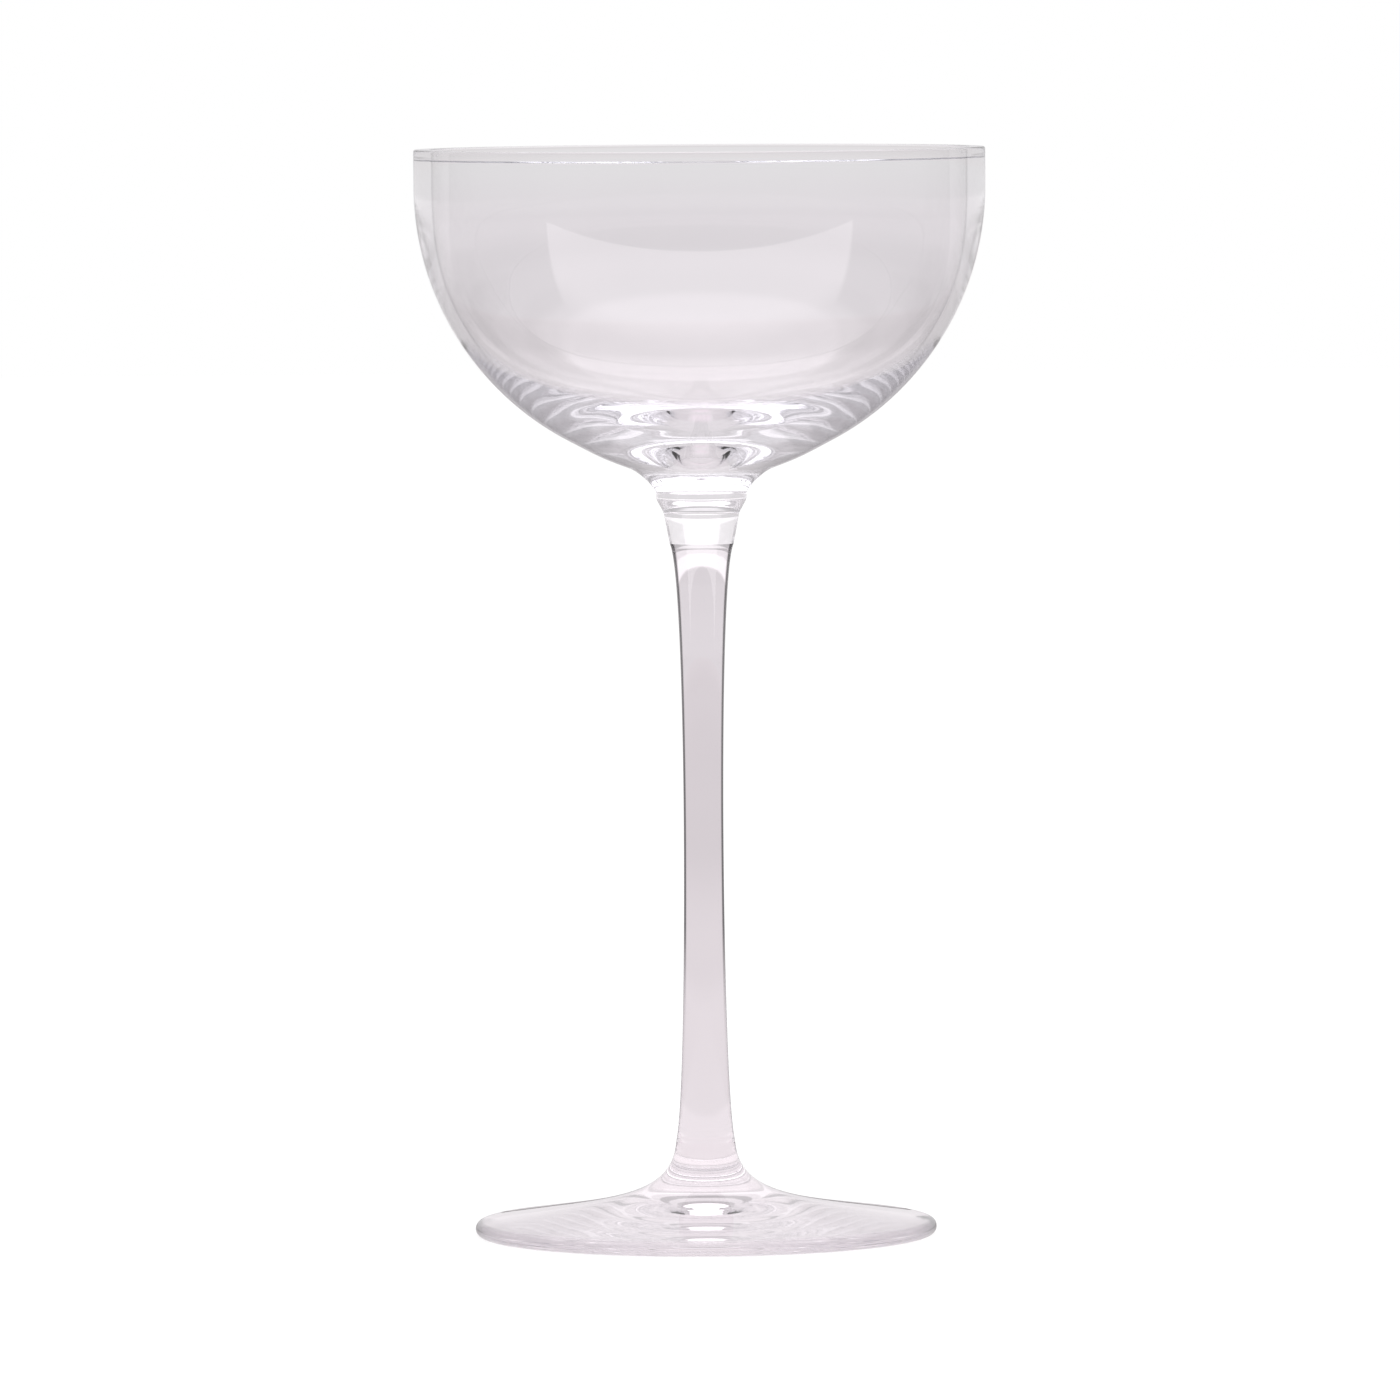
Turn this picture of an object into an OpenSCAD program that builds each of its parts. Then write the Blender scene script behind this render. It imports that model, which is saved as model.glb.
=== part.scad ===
// Nick and Nora cocktail glass in clear glass.
// It is made of three gathers that are fused while hot: a blown bowl whose neck
// holds the stem's rounded head, a drawn stem, and a spun foot whose boss holds
// the stem's rounded heel.
// The origin is the centre of the plane that the foot rests on, and +Z is up.

/* [Glass] */
// Height from the table to the top of the rim
glass_h = 156.4; // [146:0.2:172]

/* [Bowl] */
// Outer radius of the bowl
bowl_r = 41; // [38:0.5:45]
// Depth of the rounded outside, from the straight band down to the neck
bowl_depth = 41.2; // [38:0.2:45]
// Height of the straight band between the rounded outside and the rim
band_h = 5.4; // [3:0.2:10]
// Thickness of the wall at the band
wall_t = 2.7; // [2.4:0.1:3.4]
// Thickness of the glass in the bottom of the bowl, before the dimple is pressed in
floor_t = 6; // [5.4:0.1:6.8]
// Depth of the dimple in the middle of the inside's bottom
dimple_h = 1.5; // [0.4:0.1:2]
// Radius over which the dimple fades out
dimple_r = 8; // [6:0.5:10]
// Fullness of the inside: 2 is a plain ellipse, and more fills its corners
inside_fullness = 2.4; // [2:0.05:2.5]
// Radius of the lip's outer corner
lip_corner_r = 0.3; // [0.2:0.05:0.6]
// Radius of the lip's inner corner
lip_inner_r = 0.4; // [0.2:0.05:0.8]
// Width of the fine step that the melted lip leaves round the inside
lip_ring_w = 0.2; // [0.1:0.05:0.3]
// Depth of that step below the rim
lip_ring_drop = 1.4; // [1:0.1:2]

/* [Neck] */
// Radius on the bowl where its underside starts to flatten towards the neck
neck_reach_r = 19; // [17:0.5:21]
// Radius where the underside turns down into the neck
flare_r = 10.4; // [9.6:0.1:11.4]
// Height of that turn above the bottom of the rounded outside
flare_rise = 0.73; // [0.5:0.01:1]
// Slope of the underside at that turn, in degrees
flare_tilt = 20; // [15:1:24]
// Outer radius of the bead round the neck
bead_r = 6.49; // [6.2:0.01:6.8]
// Drop from the bottom of the rounded outside to the middle of the bead
bead_drop = 3.2; // [2.8:0.1:3.6]
// Height of the bead's nearly straight side
bead_h = 0.6; // [0.4:0.1:1.2]
// Height that the bead takes to draw in to the sleeve
bead_fall_h = 2.55; // [2:0.05:2.8]
// Outer radius of the sleeve just under the bead
sleeve_r = 5.38; // [5.2:0.02:5.7]
// Length of the sleeve that tapers down onto the stem
sleeve_h = 4.1; // [3.6:0.1:4.8]

/* [Stem] */
// Radius where the stem comes out of the neck's sleeve
stem_top_r = 4.6; // [4.4:0.01:4.9]
// Radius of the stem at its waist
waist_r = 2.85; // [2.6:0.05:3.4]
// Height of the waist above the table
waist_z = 59; // [50:0.5:68]
// Radius where the stem meets the foot's boss
stem_low_r = 4.24; // [3.9:0.02:4.6]
// Height of the head inside the neck, above the sleeve's lower edge
head_h = 5; // [4.6:0.1:5.8]
// Radius of the head's rounded corner
head_corner_r = 1.9; // [1:0.1:3]
// Depth of the heel inside the foot's boss
heel_h = 3.2; // [2.4:0.1:3.6]

/* [Foot] */
// Outer radius of the foot
foot_r = 33.2; // [30:0.2:37]
// Thickness of the foot's rounded edge
edge_t = 2.25; // [1.8:0.05:2.8]
// Height of the boss's top above the table
boss_h = 13.5; // [12:0.1:16]
// Width of the flat ring that the foot rests on
land_w = 1.6; // [1.2:0.1:3]
// Height of the hollow under the foot at its centre
hollow_h = 1.6; // [0.8:0.1:2]

/* [Hidden] */

// Clear glass with a breath of lilac
glass_colour = [0.87, 0.85, 0.88, 0.45];

// Straight pieces in each curve, and facets round the axis
long_steps = 26;
short_steps = 8;
round_facets = 128;
$fn = round_facets;

// Heights of the bowl and its neck
band_z = glass_h - band_h;
inner_r = bowl_r - wall_t;
inner_depth = bowl_depth - floor_t;
bowl_low_z = band_z - bowl_depth;
bead_z = bowl_low_z - bead_drop;
bead_top_z = bead_z + bead_h / 2;
bead_low_z = bead_z - bead_h / 2;
sleeve_top_z = bead_low_z - bead_fall_h;
sleeve_low_z = sleeve_top_z - sleeve_h;

// Top of the head, on the axis
head_z = sleeve_low_z + head_h;

// Foot: centre line of the rounded edge, and the flat ring's inner radius
edge_round_r = edge_t / 2;
edge_centre_r = foot_r - edge_round_r;
land_inner_r = edge_centre_r - land_w;

// How far each end of a curve runs on in its own direction, as a share of the
// curve's height or width
under_run_share = 0.47;
flare_pull_share = 0.41;
bead_top_pull_share = 0.32;
bead_pull_share = 0.22;
sleeve_lean_share = 0.3;
stem_up_pull_share = 0.2;
stem_top_pull_share = 0.085;
stem_top_lean_share = 0.9;
stem_low_pull_share = 0.11;
stem_low_lean_share = 0.81;
stem_down_pull_share = 0.32;
boss_pull_share = 0.7;
boss_lean_share = 0.02;
foot_pull_share = 0.67;
foot_rise_share = 0.245;

// Points along a curve that leaves a towards b and reaches d from c
function bend(a, b, c, d, steps) = [
    for (i = [0:steps])
        let (t = i / steps, s = 1 - t)
            s * s * s * a + 3 * s * s * t * b + 3 * s * t * t * c + t * t * t * d
];

// Points on an ellipse of radii rx and rz, from one angle to another
function arc(centre, rx, rz, from, to, steps) = [
    for (i = [0:steps])
        let (a = from + (to - from) * i / steps)
            centre + [rx * cos(a), rz * sin(a)]
];

// A list without its first point, for curves that share an end
function rest_of(points) = [for (i = [1:len(points) - 1]) points[i]];

// A list from its last point to its first
function reversed(points) = [for (i = [len(points) - 1:-1:0]) points[i]];

// Drop of the inside's bottom into its dimple, at that radius
function dimple(radius) = dimple_h * exp(-pow(radius / dimple_r, 2));

// Inside of the bowl, from its lowest point up to the band
inside_line = [
    for (i = [0:long_steps])
        let (
            a = 90 * i / long_steps,
            radius = inner_r * pow(sin(a), 2 / inside_fullness),
            depth = inner_depth * pow(cos(a), 2 / inside_fullness)
        )
            [radius, band_z - depth - dimple(radius)]
];

// Lip: the fine step inside it, its inner corner, then its outer corner
lip_ring_z = glass_h - lip_ring_drop;
mouth_r = inner_r + lip_ring_w;
lip_inner_centre = [mouth_r + lip_inner_r, glass_h - lip_inner_r];
lip_outer_centre = [bowl_r - lip_corner_r, glass_h - lip_corner_r];
lip_line = concat(
    [[inner_r, lip_ring_z - lip_ring_w], [mouth_r, lip_ring_z]],
    arc(lip_inner_centre, lip_inner_r, lip_inner_r, 180, 90, short_steps),
    arc(lip_outer_centre, lip_corner_r, lip_corner_r, 90, 0, short_steps)
);

// Outside of the bowl, from the band down to where it starts to flatten
neck_reach_angle = acos(neck_reach_r / bowl_r);
outside_line = arc([0, band_z], bowl_r, bowl_depth, 0, -neck_reach_angle, long_steps);

// Underside of the bowl: it leaves the rounded outside on that one's own slope
neck_start = outside_line[long_steps];
neck_slope = bowl_depth / bowl_r / tan(neck_reach_angle);
flare = [flare_r, bowl_low_z + flare_rise];
under_run = (neck_reach_r - flare_r) * under_run_share;
under_line = bend(
    neck_start,
    neck_start - [under_run, under_run * neck_slope],
    flare + [under_run, under_run * tan(flare_tilt)],
    flare,
    short_steps
);

// Flare from the underside into the neck, upright where it reaches the bead
bead_top = [bead_r, bead_top_z];
flare_corner = [bead_r, flare[1] - (flare_r - bead_r) * tan(flare_tilt)];
flare_line = bend(
    flare,
    flare + (flare_corner - flare) * flare_pull_share,
    bead_top + (flare_corner - bead_top) * bead_top_pull_share,
    bead_top,
    short_steps
);

// Bead's underside, drawn in to the sleeve
sleeve_top = [sleeve_r, sleeve_top_z];
bead_low = [bead_r, bead_low_z];
bead_line = bend(
    bead_low,
    bead_low - [0, bead_fall_h * bead_pull_share],
    sleeve_top + [0, bead_fall_h * bead_pull_share],
    sleeve_top,
    short_steps
);

// Sleeve, from under the bead down to the edge that lies on the stem
sleeve_low = [stem_top_r, sleeve_low_z];
sleeve_line = bend(
    sleeve_top,
    sleeve_top - [(sleeve_r - stem_top_r) * sleeve_lean_share, sleeve_h * sleeve_lean_share],
    sleeve_low + [(sleeve_r - stem_top_r) * sleeve_lean_share, sleeve_h * sleeve_lean_share],
    sleeve_low,
    short_steps
);

// Head of the stem, from the sleeve's edge up to its flat top
head_side_z = head_z - head_corner_r;
head_line = concat(
    [sleeve_low],
    arc([stem_top_r - head_corner_r, head_side_z], head_corner_r, head_corner_r, 0, 90, short_steps),
    [[0, head_z]]
);

// Heel of the stem, a round cap from the axis out to the boss's edge
heel_line = arc([0, boss_h], stem_low_r, heel_h, -90, 0, short_steps);

// Stem, from the boss up to the waist and on to the sleeve
waist = [waist_r, waist_z];
stem_low = [stem_low_r, boss_h];
low_span = waist_z - boss_h;
up_span = sleeve_low_z - waist_z;
stem_line = concat(
    bend(
        stem_low,
        stem_low + [(waist_r - stem_low_r) * stem_low_lean_share, low_span * stem_low_pull_share],
        waist - [0, low_span * stem_down_pull_share],
        waist,
        long_steps
    ),
    rest_of(bend(
        waist,
        waist + [0, up_span * stem_up_pull_share],
        sleeve_low + [(waist_r - stem_top_r) * stem_top_lean_share, -up_span * stem_top_pull_share],
        sleeve_low,
        long_steps
    ))
);

// Top of the foot, from the boss's edge out to the rounded edge
foot_edge_top = [edge_centre_r, edge_t];
foot_fall = boss_h - edge_t;
foot_run = edge_centre_r - stem_low_r;
foot_top_line = bend(
    stem_low,
    stem_low + [foot_run * boss_lean_share, -foot_fall * boss_pull_share],
    foot_edge_top + [-foot_run * foot_pull_share, foot_fall * foot_rise_share],
    foot_edge_top,
    long_steps
);
foot_edge_line = arc([edge_centre_r, edge_round_r], edge_round_r, edge_round_r, 90, -90, short_steps);

// Hollow under the foot, from the flat ring in to the centre
foot_hollow_line = [
    for (i = [0:long_steps])
        let (share = 1 - i / long_steps)
            [land_inner_r * share, hollow_h * (1 - share * share)]
];

// The foot's outline, from the centre underneath out to the edge and back up to the boss
foot_line = concat(
    reversed(foot_hollow_line),
    reversed(foot_edge_line),
    rest_of(reversed(foot_top_line))
);

module bowl() {
    color(glass_colour)
        rotate_extrude()
            polygon(concat(
                inside_line,
                lip_line,
                outside_line,
                rest_of(under_line),
                rest_of(flare_line),
                bead_line,
                rest_of(sleeve_line),
                rest_of(head_line)
            ));
}

module stem() {
    color(glass_colour)
        rotate_extrude()
            polygon(concat(
                heel_line,
                rest_of(stem_line),
                rest_of(head_line)
            ));
}

module foot() {
    color(glass_colour)
        rotate_extrude()
            polygon(concat(
                foot_line,
                rest_of(reversed(heel_line))
            ));
}

bowl();
stem();
foot();
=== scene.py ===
import math

import bmesh
import bpy
from mathutils import Matrix, Vector


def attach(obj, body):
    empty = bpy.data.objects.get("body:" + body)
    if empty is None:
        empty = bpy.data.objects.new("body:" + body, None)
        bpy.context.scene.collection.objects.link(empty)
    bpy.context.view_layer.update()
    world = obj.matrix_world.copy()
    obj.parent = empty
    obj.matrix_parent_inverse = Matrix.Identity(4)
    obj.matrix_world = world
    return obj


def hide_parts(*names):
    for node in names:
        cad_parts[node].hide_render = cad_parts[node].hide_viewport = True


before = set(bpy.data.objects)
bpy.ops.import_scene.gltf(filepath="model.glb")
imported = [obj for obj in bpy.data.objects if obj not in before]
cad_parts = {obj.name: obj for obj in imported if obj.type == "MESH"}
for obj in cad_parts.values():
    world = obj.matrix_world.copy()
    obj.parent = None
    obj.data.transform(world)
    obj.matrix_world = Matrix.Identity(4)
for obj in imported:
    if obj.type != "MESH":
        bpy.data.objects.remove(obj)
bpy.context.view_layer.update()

MM = 0.001

# Sizes of the glass in millimetres, as the source has them
GLASS_H = 156.4
BOWL_R, BOWL_DEPTH, BAND_H = 41.0, 41.2, 5.4
WALL_T, FLOOR_T, INSIDE_FULLNESS = 2.7, 6.0, 2.4
DIMPLE_H, DIMPLE_R = 1.5, 8.0
LIP_CORNER_R, LIP_INNER_R, LIP_RING_W, LIP_RING_DROP = 0.3, 0.4, 0.2, 1.4
NECK_REACH_R, FLARE_R, FLARE_RISE, FLARE_TILT = 19.0, 10.4, 0.73, 20.0
BEAD_R, BEAD_DROP, BEAD_H, BEAD_FALL_H = 6.49, 3.2, 0.6, 2.55
SLEEVE_R, SLEEVE_H = 5.38, 4.1
STEM_TOP_R, WAIST_R, WAIST_Z, STEM_LOW_R = 4.6, 2.85, 59.0, 4.24
HEAD_H, HEAD_CORNER_R, HEEL_H = 5.0, 1.9, 3.2
FOOT_R, EDGE_T, BOSS_H, LAND_W, HOLLOW_H = 33.2, 2.25, 13.5, 1.6, 1.6

# How far each curve is drawn out at its ends, as shares of its width or height, as the source has them
UNDER_RUN_SHARE, FLARE_PULL_SHARE, BEAD_TOP_PULL_SHARE = 0.47, 0.41, 0.32
BEAD_PULL_SHARE, SLEEVE_LEAN_SHARE = 0.22, 0.3
STEM_LOW_LEAN_SHARE, STEM_LOW_PULL_SHARE, STEM_DOWN_PULL_SHARE = 0.81, 0.11, 0.32
STEM_UP_PULL_SHARE, STEM_TOP_LEAN_SHARE, STEM_TOP_PULL_SHARE = 0.2, 0.9, 0.085
BOSS_LEAN_SHARE, BOSS_PULL_SHARE, FOOT_PULL_SHARE, FOOT_RISE_SHARE = 0.02, 0.7, 0.67, 0.245

# Heights and radii that follow from the sizes, and the edges at which two gathers meet outside
BAND_Z = GLASS_H - BAND_H
INNER_R = BOWL_R - WALL_T
BOWL_LOW_Z = BAND_Z - BOWL_DEPTH
BEAD_Z = BOWL_LOW_Z - BEAD_DROP
SLEEVE_TOP_Z = BEAD_Z - BEAD_H / 2 - BEAD_FALL_H
SLEEVE_LOW_Z = SLEEVE_TOP_Z - SLEEVE_H
HEAD_Z = SLEEVE_LOW_Z + HEAD_H
SLEEVE_EDGE = (STEM_TOP_R, SLEEVE_LOW_Z)
BOSS_EDGE = (STEM_LOW_R, BOSS_H)

# Breadth of the film that parts two gathers at a joint, so that their faces don't lie in one another
JOINT_GAP = 0.01

# Facets round the axis, and steps along a long, a middling and a short curve
TURNS = 200
LONG_STEPS, MIDDLE_STEPS, SHORT_STEPS = 64, 24, 14

# Points of an outline that lie nearer than this are one, in millimetres
SAME_POINT = 1e-4

# Distance in metres under which the lathe welds two points, and the angle in degrees from which an edge
# stays sharp
WELD, CORNER_ANGLE = 1e-6, 25


# Outlines, as lists of (radius, height) in millimetres


def bend(a, b, c, d, steps):
    """A curve that leaves a towards b and reaches d from c."""
    points = []
    for i in range(steps + 1):
        t = i / steps
        s = 1 - t
        points.append(tuple(
            s ** 3 * p + 3 * s * s * t * q + 3 * s * t * t * r + t ** 3 * u
            for p, q, r, u in zip(a, b, c, d)
        ))
    return points


def arc(centre, rx, rz, start, end, steps):
    """Part of an ellipse, from one angle to another in degrees."""
    points = []
    for i in range(steps + 1):
        angle = math.radians(start + (end - start) * i / steps)
        points.append((centre[0] + rx * math.cos(angle), centre[1] + rz * math.sin(angle)))
    return points


def along(start, end, share):
    """The point at that share of the way from start to end."""
    return tuple(p + (q - p) * share for p, q in zip(start, end))


def inside_line():
    """Inside of the bowl, from its lowest point up to the band."""
    points = []
    for i in range(LONG_STEPS + 1):
        angle = math.pi / 2 * i / LONG_STEPS
        radius = INNER_R * math.sin(angle) ** (2 / INSIDE_FULLNESS)
        depth = (BOWL_DEPTH - FLOOR_T) * max(math.cos(angle), 0) ** (2 / INSIDE_FULLNESS)
        dimple = DIMPLE_H * math.exp(-((radius / DIMPLE_R) ** 2))
        points.append((radius, BAND_Z - depth - dimple))
    return points


def lip_line():
    """The melted lip: the fine step inside it, its inner corner and its outer one."""
    ring_z, mouth_r = GLASS_H - LIP_RING_DROP, INNER_R + LIP_RING_W
    inner_centre = (mouth_r + LIP_INNER_R, GLASS_H - LIP_INNER_R)
    outer_centre = (BOWL_R - LIP_CORNER_R, GLASS_H - LIP_CORNER_R)
    inner = arc(inner_centre, LIP_INNER_R, LIP_INNER_R, 180, 90, SHORT_STEPS)
    outer = arc(outer_centre, LIP_CORNER_R, LIP_CORNER_R, 90, 0, SHORT_STEPS)
    return [(INNER_R, ring_z - LIP_RING_W), (mouth_r, ring_z)] + inner + outer


def outside_line():
    """Outside of the bowl, from the band down round the neck to its bead."""
    angle = math.acos(NECK_REACH_R / BOWL_R)
    side = arc((0, BAND_Z), BOWL_R, BOWL_DEPTH, 0, -math.degrees(angle), LONG_STEPS)
    start, flare, top = side[-1], (FLARE_R, BOWL_LOW_Z + FLARE_RISE), (BEAD_R, BEAD_Z + BEAD_H / 2)
    slope, tilt = BOWL_DEPTH / BOWL_R / math.tan(angle), math.tan(math.radians(FLARE_TILT))
    run = (NECK_REACH_R - FLARE_R) * UNDER_RUN_SHARE
    leaves, reaches = (start[0] - run, start[1] - run * slope), (flare[0] + run, flare[1] + run * tilt)
    under = bend(start, leaves, reaches, flare, MIDDLE_STEPS)
    corner = (BEAD_R, flare[1] - (FLARE_R - BEAD_R) * tilt)
    leaves, reaches = along(flare, corner, FLARE_PULL_SHARE), along(top, corner, BEAD_TOP_PULL_SHARE)
    return side + under + bend(flare, leaves, reaches, top, MIDDLE_STEPS)


def sleeve_line():
    """The bead's side and underside, and the sleeve down to its edge on the stem."""
    low, top = (BEAD_R, BEAD_Z - BEAD_H / 2), (SLEEVE_R, SLEEVE_TOP_Z)
    pull = BEAD_FALL_H * BEAD_PULL_SHARE
    under = bend(low, (low[0], low[1] - pull), (top[0], top[1] + pull), top, SHORT_STEPS)
    leaves, reaches = along(top, SLEEVE_EDGE, SLEEVE_LEAN_SHARE), along(SLEEVE_EDGE, top, SLEEVE_LEAN_SHARE)
    return under + bend(top, leaves, reaches, SLEEVE_EDGE, SHORT_STEPS)


def head_line(gap=0.0):
    """The stem's rounded head inside the neck, from the sleeve's edge to the axis."""
    centre = (STEM_TOP_R - HEAD_CORNER_R - gap, HEAD_Z - HEAD_CORNER_R - gap)
    corner = arc(centre, HEAD_CORNER_R, HEAD_CORNER_R, 0, 90, SHORT_STEPS)
    return [SLEEVE_EDGE, (STEM_TOP_R - gap, SLEEVE_LOW_Z)] + corner + [(0, HEAD_Z - gap)]


def heel_line(gap=0.0):
    """The stem's rounded heel inside the boss, from the axis out to the boss's edge."""
    return arc((0, BOSS_H), STEM_LOW_R - gap, HEEL_H - gap, -90, 0, SHORT_STEPS) + [BOSS_EDGE]


def stem_line():
    """Side of the stem, from the boss up past the waist to the sleeve."""
    low, waist, top = BOSS_EDGE, (WAIST_R, WAIST_Z), SLEEVE_EDGE
    down, up = WAIST_Z - BOSS_H, SLEEVE_LOW_Z - WAIST_Z
    leaves = (low[0] + (waist[0] - low[0]) * STEM_LOW_LEAN_SHARE, low[1] + down * STEM_LOW_PULL_SHARE)
    reaches = (waist[0], waist[1] - down * STEM_DOWN_PULL_SHARE)
    lower = bend(low, leaves, reaches, waist, LONG_STEPS)
    leaves = (waist[0], waist[1] + up * STEM_UP_PULL_SHARE)
    reaches = (top[0] + (waist[0] - top[0]) * STEM_TOP_LEAN_SHARE, top[1] - up * STEM_TOP_PULL_SHARE)
    return lower + bend(waist, leaves, reaches, top, LONG_STEPS)


def foot_line():
    """The foot, from the boss's edge out over its rounded edge and in underneath to the axis."""
    centre_r, half_t = FOOT_R - EDGE_T / 2, EDGE_T / 2
    low, rim = BOSS_EDGE, (centre_r, EDGE_T)
    run, fall = rim[0] - low[0], low[1] - rim[1]
    leaves = (low[0] + run * BOSS_LEAN_SHARE, low[1] - fall * BOSS_PULL_SHARE)
    reaches = (rim[0] - run * FOOT_PULL_SHARE, rim[1] + fall * FOOT_RISE_SHARE)
    top = bend(low, leaves, reaches, rim, LONG_STEPS)
    edge = arc((centre_r, half_t), half_t, half_t, 90, -90, SHORT_STEPS)
    land_r = centre_r - LAND_W
    steps = LONG_STEPS // 2
    hollow = []
    for i in range(steps + 1):
        share = 1 - i / steps
        hollow.append((land_r * share, HOLLOW_H * (1 - share * share)))
    return top + edge + hollow


# Nodes, for trees of any kind


def feed(tree, socket, value):
    """Puts a number, a colour or another node's output into a socket."""
    if isinstance(value, bpy.types.NodeSocket):
        tree.links.new(value, socket)
    else:
        socket.default_value = value


def add(tree, kind, inputs=None, **settings):
    """A node of that kind with its settings, and with what its inputs are fed, by their name or number."""
    node = tree.nodes.new(kind)
    for name, value in settings.items():
        setattr(node, name, value)
    for socket, value in (inputs or {}).items():
        feed(tree, node.inputs[socket], value)
    return node


def open_group(tree, taken, given):
    """Makes a group's inputs and outputs, each a name with its kind, and returns the sockets inside it."""
    for way, rows in (("INPUT", taken), ("OUTPUT", given)):
        for name, kind in rows.items():
            tree.interface.new_socket(name, in_out=way, socket_type="NodeSocket" + kind)
    return add(tree, "NodeGroupInput").outputs, add(tree, "NodeGroupOutput").inputs


def sums(tree, operation, *values):
    """The result of one sum on numbers or outputs."""
    return add(tree, "ShaderNodeMath", dict(enumerate(values)), operation=operation).outputs[0]


def rise(tree, value, low, high, bottom=0.0, top=1.0):
    """Goes smoothly from bottom to top as value goes from low to high."""
    inputs = {"Value": value, "From Min": low, "From Max": high, "To Min": bottom, "To Max": top}
    return add(tree, "ShaderNodeMapRange", inputs, interpolation_type="SMOOTHSTEP").outputs["Result"]


def blend_to(tree, share, first, second):
    """first where share is 0, second where it is 1."""
    return sums(tree, "MULTIPLY_ADD", share, sums(tree, "SUBTRACT", second, first), first)


def levels(tree, value, first, *steps):
    """first at low values, then a smooth step to each level, as (low, high, level)."""
    shown = first
    for low, high, level in steps:
        shown = blend_to(tree, rise(tree, value, low, high), shown, level)
    return shown


def place_on(tree, coordinates="Object"):
    """A point's X, Y and Z on its own object, or the way to it on a backdrop, as Generated has it."""
    place = add(tree, "ShaderNodeTexCoord").outputs[coordinates]
    return add(tree, "ShaderNodeSeparateXYZ", {0: place}).outputs


def from_axis(tree, x, y):
    """Distance from the glass's axis."""
    return sums(tree, "SQRT", sums(tree, "ADD", sums(tree, "MULTIPLY", x, x), sums(tree, "MULTIPLY", y, y)))


def mix(tree, share, first, second):
    """One colour where share is 0, another where it is 1."""
    inputs = {"Factor": share, "A": first, "B": second}
    return add(tree, "ShaderNodeMix", inputs, data_type="RGBA").outputs["Result"]


# The lathe that turns an outline round the axis


def at_point(tree, outline, number, kind, value):
    """A value that the outline's point of that number has."""
    inputs = {"Geometry": outline, "Value": value, "Index": number}
    return add(tree, "GeometryNodeSampleIndex", inputs, data_type=kind, domain="POINT").outputs["Value"]


def lathe_tree():
    """A geometry tree that turns the outline's points round Z and closes the seam and the poles."""
    tree = bpy.data.node_groups.new("Turn an outline", "GeometryNodeTree")
    taken = {
        "Outline": "Geometry", "Turns": "Int", "Weld Distance": "Float", "Corner Angle": "Float",
        "Glass": "Material",
    }
    given, result = open_group(tree, taken, {"Turned Piece": "Geometry"})
    outline, turns = given["Outline"], given["Turns"]

    # A flat grid: a column for each point of the outline, a row for each step round, and one row to close it
    size = add(tree, "GeometryNodeAttributeDomainSize", {"Geometry": outline}, component="MESH")
    rows = sums(tree, "ADD", turns, 1)
    grid = add(tree, "GeometryNodeMeshGrid", {"Vertices X": size.outputs["Point Count"], "Vertices Y": rows})
    index = add(tree, "GeometryNodeInputIndex").outputs["Index"]
    # The half keeps a rounded quotient from falling into the column before
    column = sums(tree, "FLOOR", sums(tree, "DIVIDE", sums(tree, "ADD", index, 0.5), rows))
    row = sums(tree, "SUBTRACT", index, sums(tree, "MULTIPLY", column, rows))
    angle = sums(tree, "DIVIDE", sums(tree, "MULTIPLY", row, 2 * math.pi), turns)

    # Each of its points goes to its place round the axis and takes the outline's joint mark with it
    position = add(tree, "GeometryNodeInputPosition").outputs["Position"]
    mark = add(tree, "GeometryNodeInputNamedAttribute", {"Name": "joint"}, data_type="FLOAT")
    place = at_point(tree, outline, column, "FLOAT_VECTOR", position)
    joint = at_point(tree, outline, column, "FLOAT", mark.outputs["Attribute"])
    parts = add(tree, "ShaderNodeSeparateXYZ", {0: place}).outputs
    turned = add(tree, "ShaderNodeCombineXYZ", {
        "X": sums(tree, "MULTIPLY", parts["X"], sums(tree, "COSINE", angle)),
        "Y": sums(tree, "MULTIPLY", parts["X"], sums(tree, "SINE", angle)),
        "Z": parts["Z"],
    })
    marked = add(tree, "GeometryNodeStoreNamedAttribute", {
        "Geometry": grid.outputs["Mesh"], "Name": "joint", "Value": joint,
    }, data_type="FLOAT", domain="POINT")
    moved = add(tree, "GeometryNodeSetPosition", {
        "Geometry": marked.outputs["Geometry"], "Position": turned.outputs["Vector"],
    })
    welded = add(tree, "GeometryNodeMergeByDistance", {
        "Geometry": moved.outputs["Geometry"], "Distance": given["Weld Distance"],
    })

    # Smooth all over but for the sharp edges
    turn_of_edge = add(tree, "GeometryNodeInputMeshEdgeAngle").outputs["Unsigned Angle"]
    sharp = sums(tree, "GREATER_THAN", turn_of_edge, given["Corner Angle"])
    smooth = add(tree, "GeometryNodeSetShadeSmooth", {"Geometry": welded.outputs["Geometry"]}, domain="FACE")
    edged = add(tree, "GeometryNodeSetShadeSmooth", {
        "Geometry": smooth.outputs["Geometry"], "Selection": sharp, "Shade Smooth": False,
    }, domain="EDGE")
    real = add(tree, "GeometryNodeRealizeInstances", {"Geometry": edged.outputs["Geometry"]})
    made = add(tree, "GeometryNodeSetMaterial", {
        "Geometry": real.outputs["Geometry"], "Material": given["Glass"],
    })
    feed(tree, result["Turned Piece"], made.outputs["Geometry"])
    return tree


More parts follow.
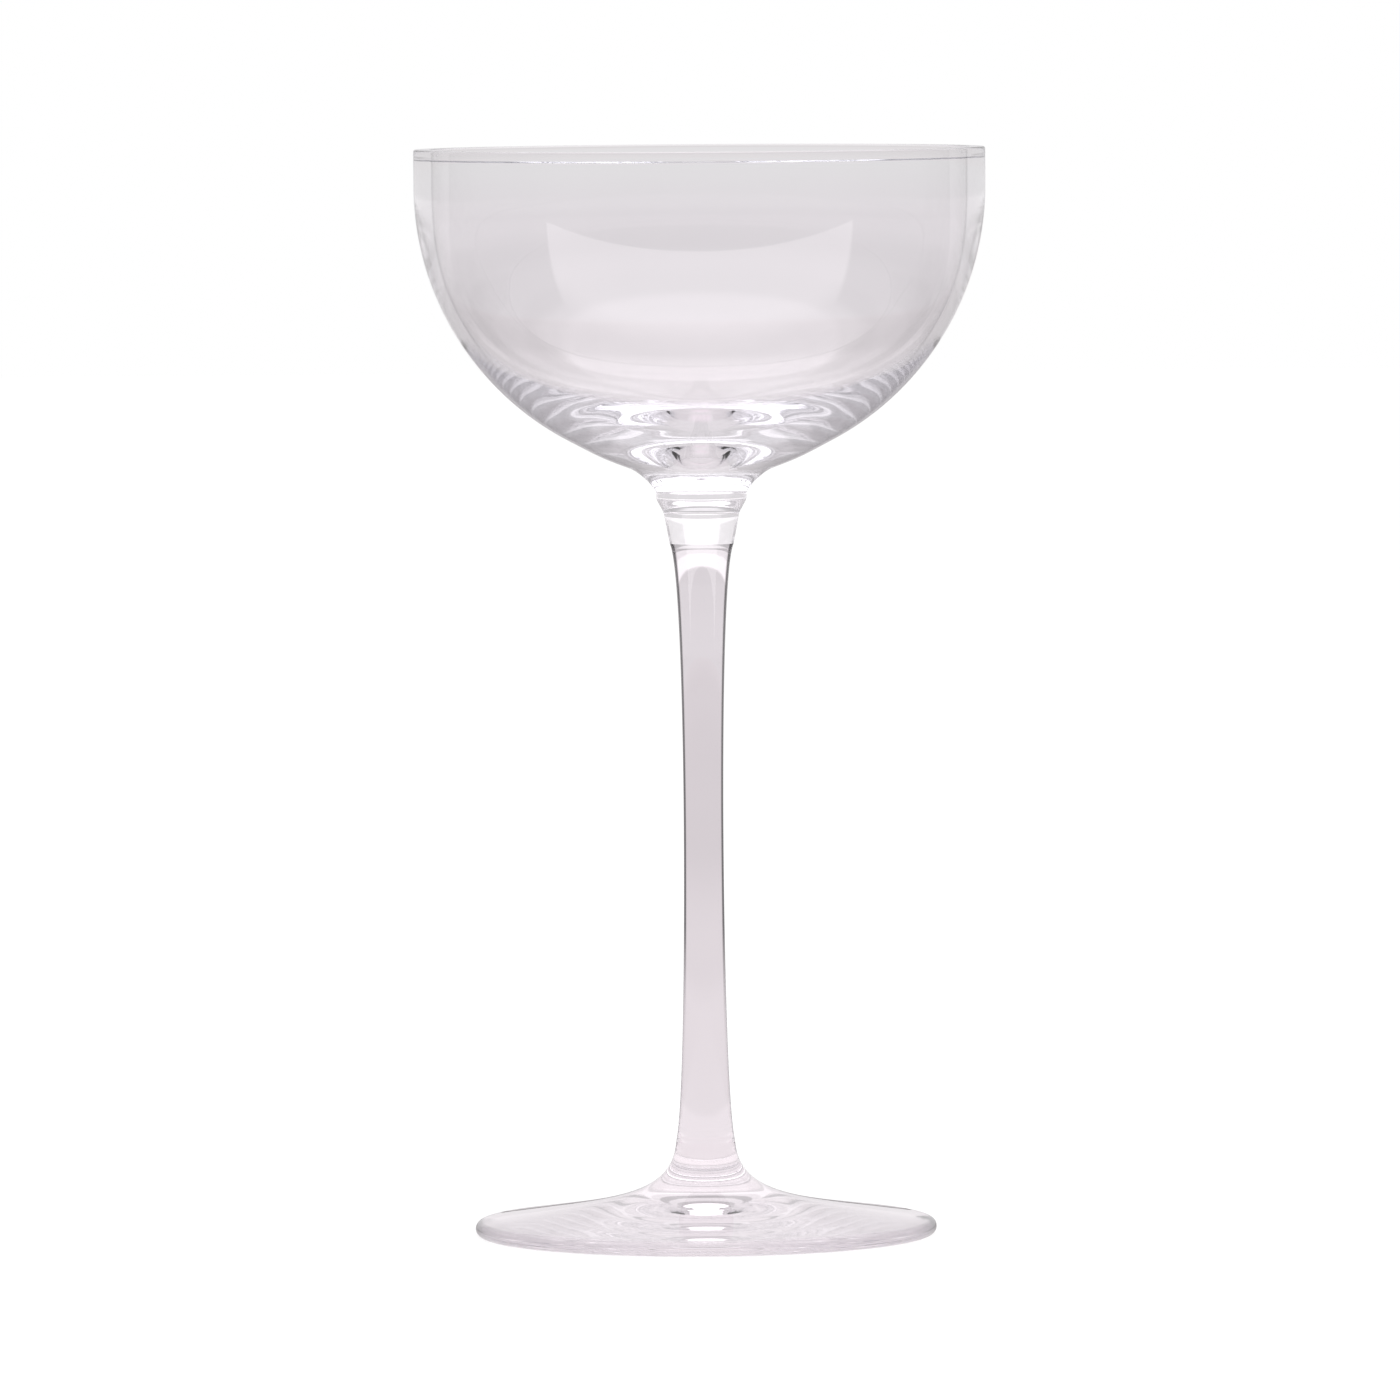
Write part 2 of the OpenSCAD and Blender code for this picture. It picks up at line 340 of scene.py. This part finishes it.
def joint_marks(points, joints):
    """1 for each point of an outline that lies in a joint, 0 for the rest. The heel is the run from the
    outline's start to the boss's edge, and the head the run from the sleeve's edge to its end."""
    numbers = range(len(points))
    heel = min(numbers, key=lambda i: math.dist(points[i], BOSS_EDGE)) if "heel" in joints else -1
    head = min(numbers, key=lambda i: math.dist(points[i], SLEEVE_EDGE)) if "head" in joints else math.inf
    return [float(i <= heel or i >= head) for i in numbers]


def outline_mesh(name, outline, joints):
    """An outline as a line of points in metres, each with its joint mark."""
    points = []
    for point in outline:
        if not points or math.dist(points[-1], point) > SAME_POINT:
            points.append(point)
    lines = [(i, i + 1) for i in range(len(points) - 1)]
    mesh = bpy.data.meshes.new(name)
    mesh.from_pydata([(r * MM, 0, z * MM) for r, z in points], lines, [])
    marks = mesh.attributes.new("joint", "FLOAT", "POINT")
    marks.data.foreach_set("value", joint_marks(points, joints))
    return mesh


def turned_mesh(outline, glass):
    """The closed shell that the lathe makes of an outline, as a plain mesh with its faces outwards."""
    work = bpy.data.objects.new(outline.name, outline)
    bpy.context.scene.collection.objects.link(work)
    lathe = work.modifiers.new("Lathe", "NODES")
    lathe.node_group = LATHE
    sizes = {
        "Turns": TURNS, "Weld Distance": WELD, "Corner Angle": math.radians(CORNER_ANGLE), "Glass": glass,
    }
    for item in LATHE.interface.items_tree:
        if item.item_type == "SOCKET" and item.in_out == "INPUT" and item.name in sizes:
            lathe[item.identifier] = sizes[item.name]
    made = bpy.data.meshes.new_from_object(work.evaluated_get(bpy.context.evaluated_depsgraph_get()))
    work.modifiers.remove(lathe)
    bpy.data.objects.remove(work)
    shape = bmesh.new()
    shape.from_mesh(made)
    bmesh.ops.recalc_face_normals(shape, faces=shape.faces)
    shape.to_mesh(made)
    shape.free()
    # The grid brings an empty material slot with it
    for number in reversed(range(len(made.materials))):
        if made.materials[number] is None:
            made.materials.pop(index=number)
    return made


def turn(name, outline, joints, glass, node):
    """Turns an outline into one closed piece that stands for a node."""
    made = turned_mesh(outline_mesh(name + "_outline", outline, joints), glass)
    made.name = name
    piece = bpy.data.objects.new(name, made)
    bpy.context.scene.collection.objects.link(piece)
    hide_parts(node)
    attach(piece, "root")


# Glass

WHITE = (1, 1, 1, 1)
GLASS_IOR = 1.5

# A point counts as part of a joint from this mark up
JOINT_MARK = 0.99

# How fast the rings change across the glass, the drawn lines up it, and the haze everywhere, per metre
RING_CHANGE, LINE_CHANGE, HAZE_CHANGE = 14, 18, 55.0

# The parts of the haze's pattern between which its roughness comes in, and its tone
ROUGH_PART, TONE_PART = (0.45, 0.8), (0.3, 0.7)

# A squashed ball halfway through the bowl's wall, as what scales and moves a point so that the ball's radius
# is 1, and the shade of the sides over its skin: (from, to, share inside, share outside)
HALF_R, HALF_DEPTH = (BOWL_R - WALL_T / 2) * MM, (BOWL_DEPTH - FLOOR_T / 2) * MM
HALFWAY = ((1 / HALF_R, 1 / HALF_R, 1 / HALF_DEPTH), (0, 0, -BAND_Z * MM / HALF_DEPTH))
SKIN_SHARES = (0.985, 1.015, 0.25, 1.0)


def pattern(tree, place, scale, detail):
    """A soft irregular pattern from 0 to 1."""
    return add(tree, "ShaderNodeTexNoise", {"Vector": place, "Scale": scale, "Detail": detail}).outputs[0]


def blown_marks():
    """A group for what the hot shop leaves on glass: soft rings round the axis, drawn lines and a breath of
    haze, with a tone that drifts with the haze."""
    tree = bpy.data.node_groups.new("Hot shop marks", "ShaderNodeTree")
    taken = dict.fromkeys(("Ring Scale", "Ring Height", "Line Scale", "Line Height", "Haze"), "Float")
    given, result = open_group(tree, taken, dict.fromkeys(("Height", "Haze", "Tone"), "Float"))
    x, y, z = place_on(tree)
    ring_place = add(tree, "ShaderNodeCombineXYZ", {
        "X": sums(tree, "MULTIPLY", from_axis(tree, x, y), given["Ring Scale"]),
        "Y": sums(tree, "MULTIPLY", x, RING_CHANGE),
        "Z": sums(tree, "MULTIPLY", z, given["Ring Scale"]),
    })
    line_place = add(tree, "ShaderNodeCombineXYZ", {
        "X": sums(tree, "MULTIPLY", x, given["Line Scale"]),
        "Y": sums(tree, "MULTIPLY", y, given["Line Scale"]),
        "Z": sums(tree, "MULTIPLY", z, LINE_CHANGE),
    })
    rings = pattern(tree, ring_place.outputs["Vector"], scale=1.0, detail=2.0)
    lines = pattern(tree, line_place.outputs["Vector"], scale=1.0, detail=1.0)
    haze = pattern(tree, add(tree, "ShaderNodeTexCoord").outputs["Object"], scale=HAZE_CHANGE, detail=3.0)
    ring_height = sums(tree, "MULTIPLY", rings, given["Ring Height"])
    line_height = sums(tree, "MULTIPLY", lines, given["Line Height"])
    feed(tree, result["Height"], sums(tree, "ADD", ring_height, line_height))
    feed(tree, result["Haze"], sums(tree, "MULTIPLY", rise(tree, haze, *ROUGH_PART), given["Haze"]))
    feed(tree, result["Tone"], rise(tree, haze, *TONE_PART))
    return tree


def sides_shade(tree, steps, starts, lean=None, skin=None):
    """The shade of glass whose sides turn from the eye: steps by how far they turn, starts the heights
    between which it comes in, lean what a tilted surface adds to the turn by height, and skin the squashed
    ball from which the shade is full."""
    height = place_on(tree)["Z"]
    turned = add(tree, "ShaderNodeLayerWeight", {"Blend": 0.5}).outputs["Facing"]
    share = rise(tree, height, *starts)
    if lean:
        turned = sums(tree, "ADD", turned, rise(tree, height, *lean))
    if skin:
        place = add(tree, "ShaderNodeTexCoord").outputs["Object"]
        scale, move = skin
        ball = add(tree, "ShaderNodeVectorMath", {0: place, 1: scale, 2: move}, operation="MULTIPLY_ADD")
        out = add(tree, "ShaderNodeVectorMath", {0: ball.outputs["Vector"]}, operation="LENGTH")
        share = sums(tree, "MULTIPLY", rise(tree, out.outputs["Value"], *SKIN_SHARES), share)
    return blend_to(tree, share, 1.0, levels(tree, turned, 1.0, *steps))


def clear_glass(name, tones, marks, mirror, depth, joint_ior, sides, painted_rim_light=None):
    """Clear glass with the hot shop's marks, whose colour drifts between two tones. mirror tints its gloss,
    and depth is the colour and the density that tint it where it is thick. joint_ior lets light go on nearly
    straight where two gathers are fused. sides sets its sides_shade, a painted shade in its colour. The last
    argument gives the heights between which its colour is painted lighter towards the lip, as painted light."""
    material = bpy.data.materials.new(name)
    material.use_nodes = True
    tree = material.node_tree
    shader = tree.nodes["Principled BSDF"]
    hot_shop = add(tree, "ShaderNodeGroup", marks, node_tree=MARKS).outputs
    joint = add(tree, "ShaderNodeAttribute", attribute_name="joint").outputs["Fac"]
    fused = sums(tree, "GREATER_THAN", joint, JOINT_MARK)
    first, second = tones
    colour = mix(tree, hot_shop["Tone"], (*first, 1), (*second, 1))
    # Painted light: between these heights the colour is lightened to white towards the lip
    if painted_rim_light:
        colour = mix(tree, rise(tree, place_on(tree)["Z"], *painted_rim_light), colour, WHITE)
    shaded = add(tree, "ShaderNodeVectorMath", {
        "Vector": colour, "Scale": sides_shade(tree, **sides),
    }, operation="SCALE")
    bump = add(tree, "ShaderNodeBump", {"Strength": 1.0, "Distance": 1.0, "Height": hot_shop["Height"]})
    tint, density = depth
    body = add(tree, "ShaderNodeVolumeAbsorption", {"Color": (*tint, 1), "Density": density})
    feed(tree, tree.nodes["Material Output"].inputs["Volume"], body.outputs["Volume"])

    # IOR has its plain value under its link too, for programs that read only that
    shader.inputs["IOR"].default_value = GLASS_IOR
    for socket, value in {
        "Metallic": 0.0,
        "Transmission Weight": 1.0,
        "IOR": blend_to(tree, fused, GLASS_IOR, joint_ior),
        "Specular Tint": (*mirror, 1),
        "Base Color": mix(tree, fused, shaded.outputs["Vector"], WHITE),
        "Roughness": hot_shop["Haze"],
        "Normal": bump.outputs["Normal"],
    }.items():
        feed(tree, shader.inputs[socket], value)
    return material


# The three gathers. The shades of their sides go by how far these turn from the eye, 0 to 1, as steps of
# (from, to, shade). Heights are in metres, and a lean is (from, to, added below, added above).


def bowl():
    """The blown bowl, with its neck, its bead and the sleeve on the stem."""
    glass = clear_glass(
        "blown bowl glass",
        tones=((0.975, 0.958, 0.97), (0.985, 0.968, 0.98)),
        marks={
            "Ring Scale": 260, "Ring Height": 4e-6, "Line Scale": 60, "Line Height": 2e-6, "Haze": 0.01,
        },
        mirror=(0.95, 0.935, 0.955),
        depth=((0.4, 0.38, 0.47), 6),
        joint_ior=1.0,
        sides={
            "steps": [
                (0.1, 0.25, 0.975), (0.35, 0.46, 0.93), (0.5, 0.52, 0.965), (0.53, 0.63, 0.82),
                (0.625, 0.645, 0.6), (0.648, 0.656, 0.98),
            ],
            "starts": (0.118, 0.132),
            "lean": (0.134, 0.151, -0.06, 0),
            "skin": HALFWAY,
        },
        # Painted light: the colour goes to white between these heights, towards the lip
        painted_rim_light=(0.146, 0.156),
    )
    outline = inside_line() + lip_line() + outside_line() + sleeve_line() + head_line()
    turn("blown_bowl", outline, {"head"}, glass, "bowl")


def stem():
    """The drawn stem, with its heel in the foot's boss and its head in the bowl's neck."""
    glass = clear_glass(
        "drawn stem glass",
        tones=((0.955, 0.905, 0.935), (0.975, 0.925, 0.955)),
        marks={
            "Ring Scale": 60, "Ring Height": 2e-6, "Line Scale": 700, "Line Height": 3e-6, "Haze": 0.01,
        },
        mirror=(0.95, 0.95, 0.96),
        depth=((0.4, 0.4, 0.44), 5),
        joint_ior=1.06,
        sides={"steps": [(0.48, 0.6, 0.02)], "starts": (0.026, 0.045)},
    )
    outline = heel_line(JOINT_GAP) + stem_line() + head_line(JOINT_GAP)
    turn("drawn_stem", outline, {"heel", "head"}, glass, "stem")


def foot():
    """The spun foot, with its boss and the hollow underneath."""
    glass = clear_glass(
        "spun foot glass",
        tones=((0.955, 0.893, 0.928), (0.97, 0.913, 0.943)),
        marks={
            "Ring Scale": 260, "Ring Height": 1.4e-5, "Line Scale": 60, "Line Height": 1e-6, "Haze": 0.04,
        },
        mirror=(0.95, 0.95, 0.96),
        depth=((0.4, 0.4, 0.44), 5),
        joint_ior=1.0,
        sides={"steps": [(0.6, 0.8, 0.95)], "starts": (0, 0.003)},
    )
    turn("spun_foot", heel_line() + foot_line(), {"heel"}, glass, "foot")


# Backdrop, floor, lamp and camera. Through the glass and in its gloss, backdrop and floor show the greys of
# a studio's cards, each row as a first level and then steps of (from, to, level).

# The backdrop's rows go by degrees above the horizon
SKY_THROUGH = (
    0.77, (3.8, 4.6, 1.18), (8, 10, 0.95), (15, 17, 0.55), (24, 26, 0.9), (34, 36, 0.6), (43, 47, 1.9),
    (53, 57, 2.2),
)
SKY_GLOSS = (0.8, (16, 20, 1.0), (35, 45, 1.5))
SKY_TINT, SKY_LIGHT = (1.0, 0.985, 1.0), (0.75, 0.75, 0.75, 1)

# The floor's rows go by metres from the glass's axis
FLOOR_THROUGH = (
    1.03, (0.035, 0.05, 0.9), (0.09, 0.11, 0.84), (0.3, 0.4, 0.79), (0.5, 0.8, 0.71), (1.4, 2.2, 0.73),
    (2.5, 4.0, 0.77),
)
FLOOR_GLOSS = (0.6, (0.1, 0.15, 0.12), (0.34, 0.6, 0.5), (0.8, 1.4, 0.8))
FLOOR_TINT, FLOOR_PAINT = (1.0, 0.97, 0.985), (0.8, 0.8, 0.8, 1)

# To the eye the floor glows nearly white, and its thin paint adds the glass's faint shadow
FLOOR_GLOW, THIN_PAINT = 0.86, (0.22, 0.22, 0.22, 1)
FLOOR_R, FLOOR_DROP, FLOOR_FACETS = 4.0, 0.00005, 96

# The white sheet on the floor in front of the glass, which its gloss shows as a window, in metres: where it
# begins and ends towards the front, its half breadth and the angle at which it widens, the softness of its
# sides, and the run over which it brightens with its two levels
SHEET_BACK, SHEET_FRONT = (0.02, -0.02), (0.335, 0.35)
SHEET_HALF_W, SHEET_FLARE, SHEET_SIDE = 0.165, 63, (0, 0.03)
SHEET_LEVELS = (0.07, 0.13, 1.0, 2.3)

# The lamps face this point, in metres
LIT_POINT = (0, 0, 0.08)

# The photograph's width and the lens's focal length in its pixels, with the film's width in millimetres
PHOTO_W, FOCAL_LENGTH, FILM_W = 1400, 12755, 36

# The eye's place in metres, how far it looks down and how far it is rolled in degrees, and how far it sees
EYE, EYE_DOWN, EYE_ROLL, EYE_REACH = (-0.0004, -1.83, 0.181), 3.249, -0.38, 50

# Light turns many times inside the thick glass before it leaves
BOUNCES = 48


def studio_tone(tree, gloss, through, tint):
    """A tinted tone that has one brightness in the gloss of the glass and another through it."""
    path = add(tree, "ShaderNodeLightPath").outputs
    seen = blend_to(tree, path["Is Transmission Ray"], gloss, through)
    shares = {i: sums(tree, "MULTIPLY", seen, share) for i, share in enumerate(tint)}
    return add(tree, "ShaderNodeCombineXYZ", shares).outputs[0]


def by_ray(tree, eye, glass, rest):
    """The shader that the eye sees, the one that glass shows, and the one that lights the rest."""
    path = add(tree, "ShaderNodeLightPath").outputs
    shown = rest.outputs[0]
    for ray, shader in (("Is Glossy Ray", glass), ("Is Camera Ray", eye)):
        inputs = {0: path[ray], 1: shown, 2: shader.outputs[0]}
        shown = add(tree, "ShaderNodeMixShader", inputs).outputs[0]
    return shown


def backdrop():
    """White to the eye; through the glass and in its gloss it is a pale studio with a soft box overhead."""
    world = bpy.data.worlds.new("Studio")
    bpy.context.scene.world = world
    world.use_nodes = True
    tree = world.node_tree
    tree.nodes.clear()
    up = sums(tree, "MULTIPLY", sums(tree, "ARCSINE", place_on(tree, "Generated")["Z"]), 180 / math.pi)
    tone = studio_tone(tree, levels(tree, up, *SKY_GLOSS), levels(tree, up, *SKY_THROUGH), SKY_TINT)
    white, shown, lit = (
        add(tree, "ShaderNodeBackground", {"Color": colour}) for colour in (WHITE, tone, SKY_LIGHT)
    )
    add(tree, "ShaderNodeOutputWorld", {"Surface": by_ray(tree, white, shown, lit)})


def sheet_gloss(tree, x, y, away):
    """Brightness of the floor in the gloss of the glass, with the white sheet on it."""
    near, wide = sums(tree, "MULTIPLY", y, -1), sums(tree, "ABSOLUTE", x)
    flare = sums(tree, "MULTIPLY", near, math.tan(math.radians(SHEET_FLARE)))
    edge = sums(tree, "SUBTRACT", wide, sums(tree, "MAXIMUM", flare, SHEET_HALF_W))
    off = sums(tree, "MAXIMUM", rise(tree, near, *SHEET_FRONT), rise(tree, edge, *SHEET_SIDE))
    off = sums(tree, "MAXIMUM", off, rise(tree, near, *SHEET_BACK))
    return blend_to(tree, off, rise(tree, near, *SHEET_LEVELS), levels(tree, away, *FLOOR_GLOSS))


def floor():
    """A pale table that glows nearly white to the eye."""
    mesh = bpy.data.meshes.new("table")
    shape = bmesh.new()
    bmesh.ops.create_circle(shape, cap_ends=True, segments=FLOOR_FACETS, radius=FLOOR_R)
    shape.to_mesh(mesh)
    shape.free()
    table = bpy.data.objects.new("table", mesh)
    table.location.z = -FLOOR_DROP
    bpy.context.scene.collection.objects.link(table)
    material = bpy.data.materials.new("pale table")
    material.use_nodes = True
    mesh.materials.append(material)
    tree = material.node_tree
    tree.nodes.clear()
    x, y = place_on(tree)[:2]
    away = from_axis(tree, x, y)
    tone = studio_tone(tree, sheet_gloss(tree, x, y, away), levels(tree, away, *FLOOR_THROUGH), FLOOR_TINT)
    shown = add(tree, "ShaderNodeEmission", {"Color": tone})
    matt = add(tree, "ShaderNodeBsdfDiffuse", {"Color": FLOOR_PAINT})
    glow = add(tree, "ShaderNodeEmission", {"Strength": FLOOR_GLOW})
    thin = add(tree, "ShaderNodeBsdfDiffuse", {"Color": THIN_PAINT})
    pale = add(tree, "ShaderNodeAddShader", {0: glow.outputs[0], 1: thin.outputs[0]})
    add(tree, "ShaderNodeOutputMaterial", {"Surface": by_ray(tree, pale, shown, matt)})


def lamp(name, place, size, power):
    """A soft box that faces the glass."""
    light = bpy.data.lights.new(name, "AREA")
    light.shape = "SQUARE"
    light.size = size
    light.energy = power
    box = bpy.data.objects.new(name, light)
    box.location = place
    box.rotation_mode = "QUATERNION"
    box.rotation_quaternion = (Vector(place) - Vector(LIT_POINT)).to_track_quat("Z", "Y")
    box.visible_glossy = False
    box.visible_transmission = False
    bpy.context.scene.collection.objects.link(box)


def camera():
    """The photograph's view: far off and a little above the rim, with a slight roll."""
    lens = bpy.data.cameras.new("Camera")
    lens.sensor_width = FILM_W
    lens.lens = FOCAL_LENGTH / PHOTO_W * FILM_W
    lens.clip_end = EYE_REACH
    eye = bpy.data.objects.new("Camera", lens)
    bpy.context.scene.collection.objects.link(eye)
    tilt = Matrix.Rotation(math.radians(90 - EYE_DOWN), 4, "X")
    roll = Matrix.Rotation(math.radians(EYE_ROLL), 4, "Z")
    eye.matrix_world = Matrix.Translation(EYE) @ tilt @ roll
    bpy.context.scene.camera = eye


def many_bounces():
    """Lets light turn often enough to leave the thick glass again."""
    for kind in ("max_bounces", "glossy_bounces", "transmission_bounces"):
        setattr(bpy.context.scene.cycles, kind, BOUNCES)


bpy.context.scene.view_settings.view_transform = "Standard"
many_bounces()
LATHE = lathe_tree()
MARKS = blown_marks()
camera()

bowl()
stem()
foot()
floor()
backdrop()
lamp("overhead soft box", place=(0.15, -0.25, 1.4), size=1.0, power=9)
